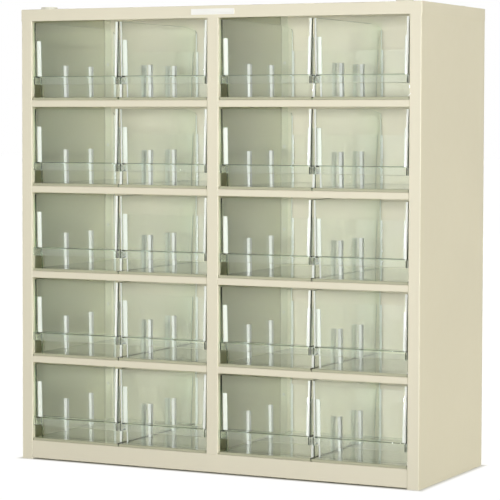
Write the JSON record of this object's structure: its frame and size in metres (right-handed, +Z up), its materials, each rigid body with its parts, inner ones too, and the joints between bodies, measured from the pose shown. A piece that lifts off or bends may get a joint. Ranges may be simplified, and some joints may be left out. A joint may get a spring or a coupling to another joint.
{
  "type": "parts cabinet",
  "caption": "Free-standing sheet-steel parts cabinet with columns of shelves and clear tapered plastic drawers in pairs, each with a pull lip and pulled straight out.",
  "frame": {"origin": "on the floor under the middle of the cabinet", "axes": "+Z up, -Y out of the front where the drawers come out, +X to the right seen from the front"},
  "size_m": [0.84, 0.3266, 0.885],
  "materials": {
    "ivory_paint": "satin baked enamel on folded sheet steel",
    "clear_plastic": "clear moulded polystyrene, glossy, faintly green-grey",
    "stud_plastic": "satin moulded plastic",
    "plate_white": "satin white enamel, blank",
    "rivet_aluminium": "plain blind rivet"
  },
  "bodies": {
    "case": {"left_side_panel": "ivory_paint", "right_side_panel": "ivory_paint", "centre_partition": "ivory_paint", "top_cover": "ivory_paint", "base_tray": "ivory_paint", "back_panel": "ivory_paint", "back_panel_rivets": "rivet_aluminium", "stacking_studs": "stud_plastic", "name_plate": "plate_white", "shelf_left_1": "ivory_paint", "shelf_left_2": "ivory_paint", "shelf_left_3": "ivory_paint", "shelf_left_4": "ivory_paint", "shelf_right_1": "ivory_paint", "shelf_right_2": "ivory_paint", "shelf_right_3": "ivory_paint", "shelf_right_4": "ivory_paint"},
    "drawer_1_1": {"drawer_1_1": "clear_plastic"},
    "drawer_1_2": {"drawer_1_2": "clear_plastic"},
    "drawer_1_3": {"drawer_1_3": "clear_plastic"},
    "drawer_1_4": {"drawer_1_4": "clear_plastic"},
    "drawer_2_1": {"drawer_2_1": "clear_plastic"},
    "drawer_2_2": {"drawer_2_2": "clear_plastic"},
    "drawer_2_3": {"drawer_2_3": "clear_plastic"},
    "drawer_2_4": {"drawer_2_4": "clear_plastic"},
    "drawer_3_1": {"drawer_3_1": "clear_plastic"},
    "drawer_3_2": {"drawer_3_2": "clear_plastic"},
    "drawer_3_3": {"drawer_3_3": "clear_plastic"},
    "drawer_3_4": {"drawer_3_4": "clear_plastic"},
    "drawer_4_1": {"drawer_4_1": "clear_plastic"},
    "drawer_4_2": {"drawer_4_2": "clear_plastic"},
    "drawer_4_3": {"drawer_4_3": "clear_plastic"},
    "drawer_4_4": {"drawer_4_4": "clear_plastic"},
    "drawer_5_1": {"drawer_5_1": "clear_plastic"},
    "drawer_5_2": {"drawer_5_2": "clear_plastic"},
    "drawer_5_3": {"drawer_5_3": "clear_plastic"},
    "drawer_5_4": {"drawer_5_4": "clear_plastic"}
  },
  "joints": [
    {"name": "drawer_1_1_slide", "type": "slide", "parent": "case", "child": "drawer_1_1", "axis": [0, -1, 0], "range_m": [0, 0.25]},
    {"name": "drawer_1_2_slide", "type": "slide", "parent": "case", "child": "drawer_1_2", "axis": [0, -1, 0], "range_m": [0, 0.25]},
    {"name": "drawer_1_3_slide", "type": "slide", "parent": "case", "child": "drawer_1_3", "axis": [0, -1, 0], "range_m": [0, 0.25]},
    {"name": "drawer_1_4_slide", "type": "slide", "parent": "case", "child": "drawer_1_4", "axis": [0, -1, 0], "range_m": [0, 0.25]},
    {"name": "drawer_2_1_slide", "type": "slide", "parent": "case", "child": "drawer_2_1", "axis": [0, -1, 0], "range_m": [0, 0.25]},
    {"name": "drawer_2_2_slide", "type": "slide", "parent": "case", "child": "drawer_2_2", "axis": [0, -1, 0], "range_m": [0, 0.25]},
    {"name": "drawer_2_3_slide", "type": "slide", "parent": "case", "child": "drawer_2_3", "axis": [0, -1, 0], "range_m": [0, 0.25]},
    {"name": "drawer_2_4_slide", "type": "slide", "parent": "case", "child": "drawer_2_4", "axis": [0, -1, 0], "range_m": [0, 0.25]},
    {"name": "drawer_3_1_slide", "type": "slide", "parent": "case", "child": "drawer_3_1", "axis": [0, -1, 0], "range_m": [0, 0.25]},
    {"name": "drawer_3_2_slide", "type": "slide", "parent": "case", "child": "drawer_3_2", "axis": [0, -1, 0], "range_m": [0, 0.25]},
    {"name": "drawer_3_3_slide", "type": "slide", "parent": "case", "child": "drawer_3_3", "axis": [0, -1, 0], "range_m": [0, 0.25]},
    {"name": "drawer_3_4_slide", "type": "slide", "parent": "case", "child": "drawer_3_4", "axis": [0, -1, 0], "range_m": [0, 0.25]},
    {"name": "drawer_4_1_slide", "type": "slide", "parent": "case", "child": "drawer_4_1", "axis": [0, -1, 0], "range_m": [0, 0.25]},
    {"name": "drawer_4_2_slide", "type": "slide", "parent": "case", "child": "drawer_4_2", "axis": [0, -1, 0], "range_m": [0, 0.25]},
    {"name": "drawer_4_3_slide", "type": "slide", "parent": "case", "child": "drawer_4_3", "axis": [0, -1, 0], "range_m": [0, 0.25]},
    {"name": "drawer_4_4_slide", "type": "slide", "parent": "case", "child": "drawer_4_4", "axis": [0, -1, 0], "range_m": [0, 0.25]},
    {"name": "drawer_5_1_slide", "type": "slide", "parent": "case", "child": "drawer_5_1", "axis": [0, -1, 0], "range_m": [0, 0.25]},
    {"name": "drawer_5_2_slide", "type": "slide", "parent": "case", "child": "drawer_5_2", "axis": [0, -1, 0], "range_m": [0, 0.25]},
    {"name": "drawer_5_3_slide", "type": "slide", "parent": "case", "child": "drawer_5_3", "axis": [0, -1, 0], "range_m": [0, 0.25]},
    {"name": "drawer_5_4_slide", "type": "slide", "parent": "case", "child": "drawer_5_4", "axis": [0, -1, 0], "range_m": [0, 0.25]}
  ]
}
